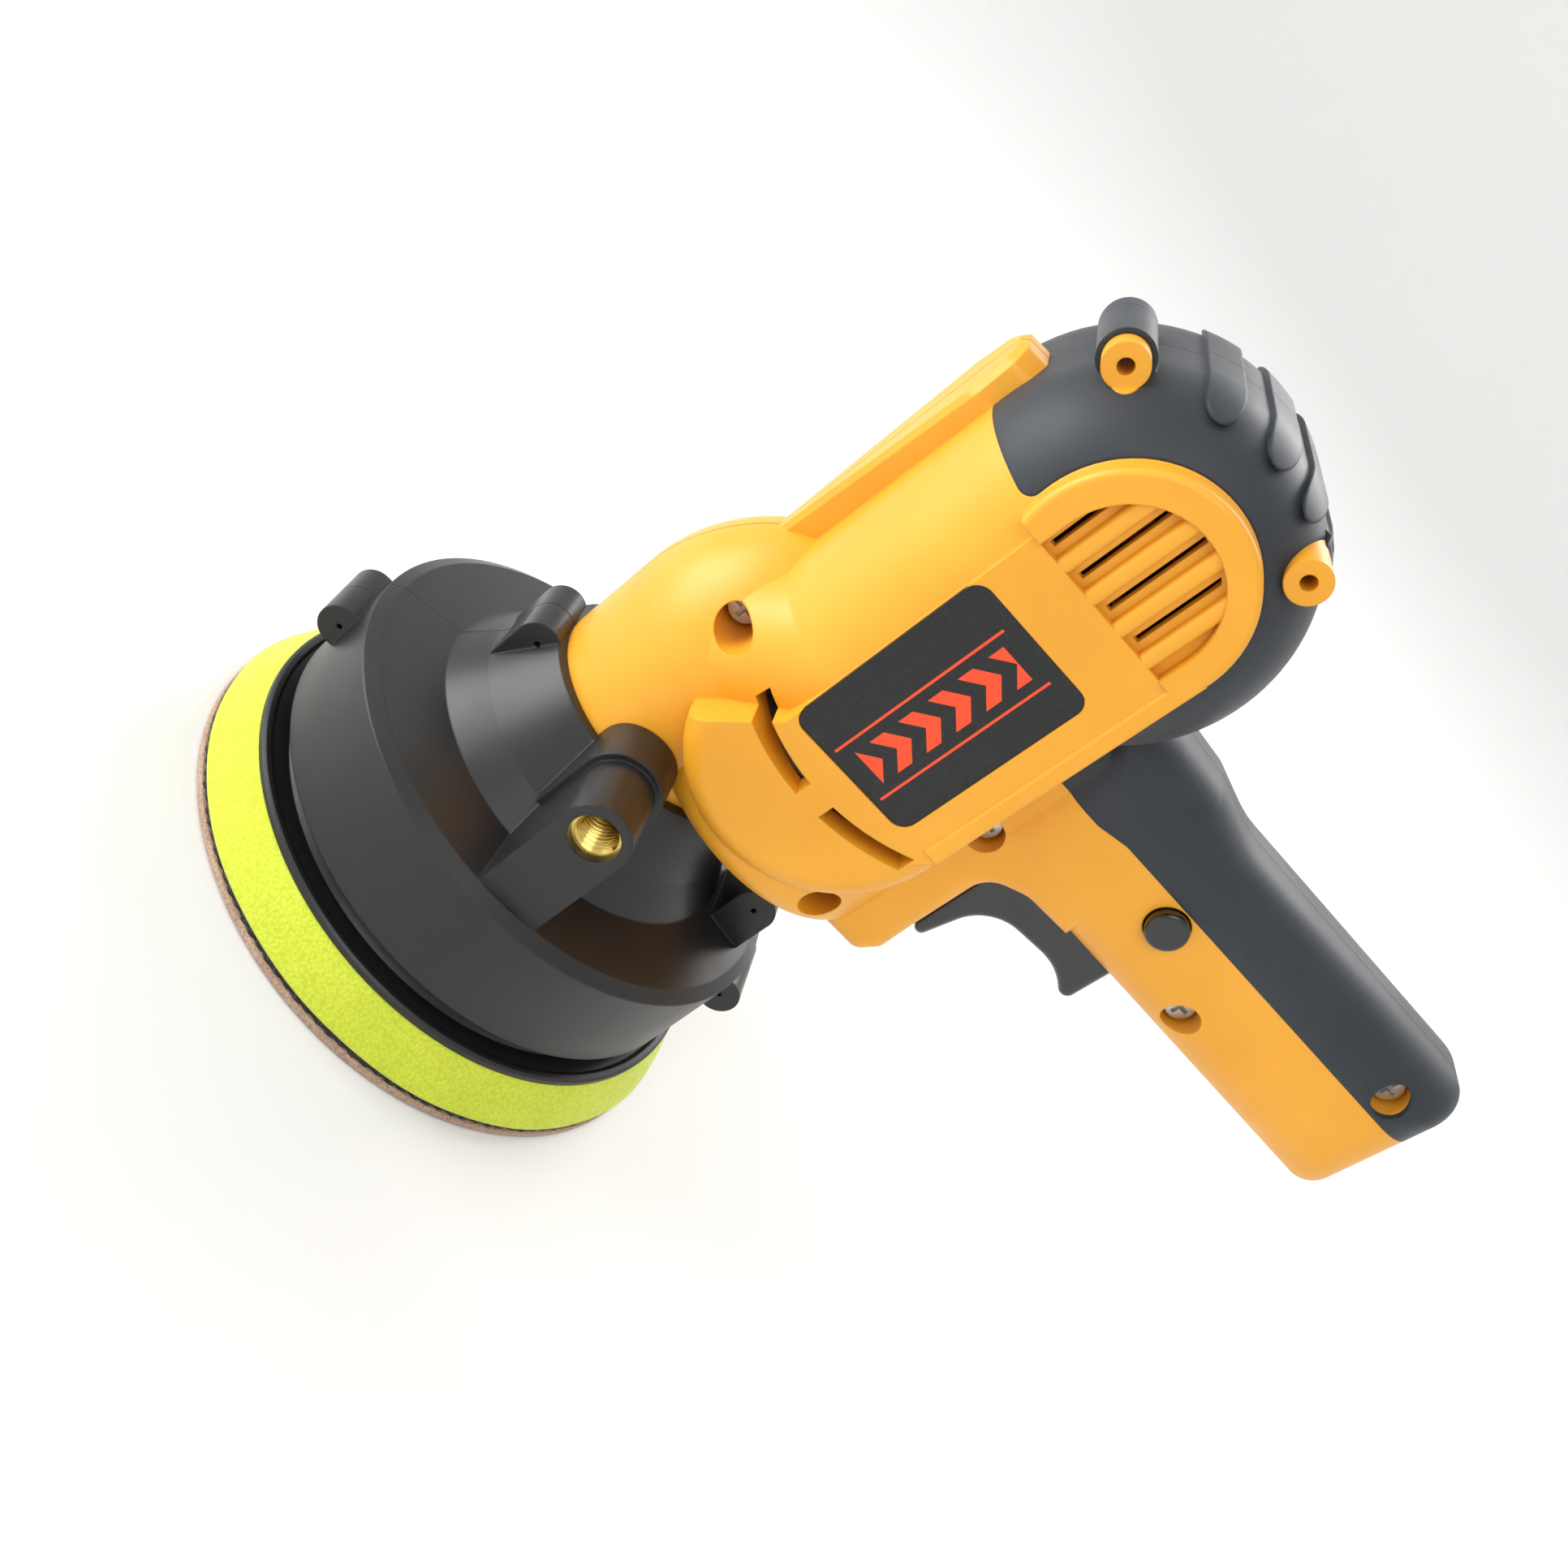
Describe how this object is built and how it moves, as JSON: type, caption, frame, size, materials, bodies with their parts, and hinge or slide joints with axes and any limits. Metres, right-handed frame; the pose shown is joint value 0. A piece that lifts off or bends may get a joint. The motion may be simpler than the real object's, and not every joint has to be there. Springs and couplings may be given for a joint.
{
  "type": "rotary polisher",
  "caption": "Hand-held pistol-grip rotary polisher: a geared motor in a clamshell body turns a foam pad with an abrasive disc under a split bell that takes a side handle on either side.",
  "frame": {"origin": "centre of the pad's working face", "axes": "+Z along the spindle from the pad towards the rear of the tool, +X the way the pistol grip points, -Y the left side"},
  "size_m": [0.2305, 0.125, 0.1979],
  "materials": {
    "yellow_nylon": "moulded glass-filled nylon, satin",
    "grip_rubber": "soft overmould, matt",
    "label_plastic": "pebbled plastic panel, printed",
    "shroud_plastic": "moulded nylon, satin",
    "zinc_steel": "zinc plated",
    "black_steel": "black oxide",
    "brass": "turned brass",
    "abrasive_sheet": "coated cloth, fine grain",
    "hook_fabric": "woven hook pile",
    "lime_foam": "open-cell foam",
    "plate_plastic": "moulded nylon, satin",
    "ground_steel": "ground",
    "gear_steel": "hobbed and oiled",
    "spring_steel": "drawn wire",
    "bearing_steel": "polished",
    "core_steel": "stacked laminations",
    "copper_wire": "enamelled copper wire",
    "copper_bar": "turned copper bars",
    "fan_nylon": "moulded nylon",
    "carbon": "pressed carbon",
    "switch_plastic": "moulded, satin",
    "trigger_plastic": "moulded, glossy"
  },
  "bodies": {
    "housing": {"left_housing": "yellow_nylon", "right_housing": "yellow_nylon", "left_rubber_grip": "grip_rubber", "right_rubber_grip": "grip_rubber", "left_label": "label_plastic", "right_label": "label_plastic", "housing_screws": "zinc_steel", "left_shroud": "shroud_plastic", "right_shroud": "shroud_plastic", "shroud_screws": "black_steel", "left_handle_insert": "brass", "right_handle_insert": "brass", "spindle_front_bearing": "bearing_steel", "spindle_rear_bearing": "bearing_steel", "armature_front_bearing": "bearing_steel", "armature_rear_bearing": "bearing_steel", "stator_core": "core_steel", "field_coils": "copper_wire", "brush_holders": "brass", "carbon_brushes": "carbon", "brush_springs": "spring_steel", "switch_body": "switch_plastic"},
    "spindle": {"spindle": "ground_steel", "spindle_circlip": "spring_steel", "spindle_gear": "gear_steel", "backing_plate": "plate_plastic", "foam_pad": "lime_foam", "hook_layer": "hook_fabric", "abrasive_disc": "abrasive_sheet"},
    "rotor": {"armature_shaft": "ground_steel", "armature_core": "core_steel", "armature_windings": "copper_wire", "commutator": "copper_bar", "cooling_fan": "fan_nylon", "motor_pinion": "gear_steel"},
    "trigger": {"trigger": "trigger_plastic", "trigger_spring": "spring_steel"},
    "lock_button": {"lock_button": "trigger_plastic"}
  },
  "joints": [
    {"name": "spindle_spin", "type": "hinge", "parent": "housing", "child": "spindle", "pos_m": [0, 0, 0], "axis": [0, 0, 1], "continuous": true},
    {"name": "rotor_spin", "type": "hinge", "parent": "housing", "child": "rotor", "pos_m": [0.024, 0, 0], "axis": [0, 0, 1], "continuous": true},
    {"name": "trigger_slide", "type": "slide", "parent": "housing", "child": "trigger", "axis": [0, 0, 1], "range_m": [0, 0.006], "stiffness_N_per_m": 800, "springref_m": -0.004, "deforming": ["trigger_spring"]},
    {"name": "lock_press", "type": "slide", "parent": "housing", "child": "lock_button", "axis": [0, 1, 0], "range_m": [0, 0.002], "stiffness_N_per_m": 600, "springref_m": -0.003}
  ],
  "couplings": [
    {"joint": "rotor_spin", "follows": "spindle_spin", "ratio": -3}
  ]
}
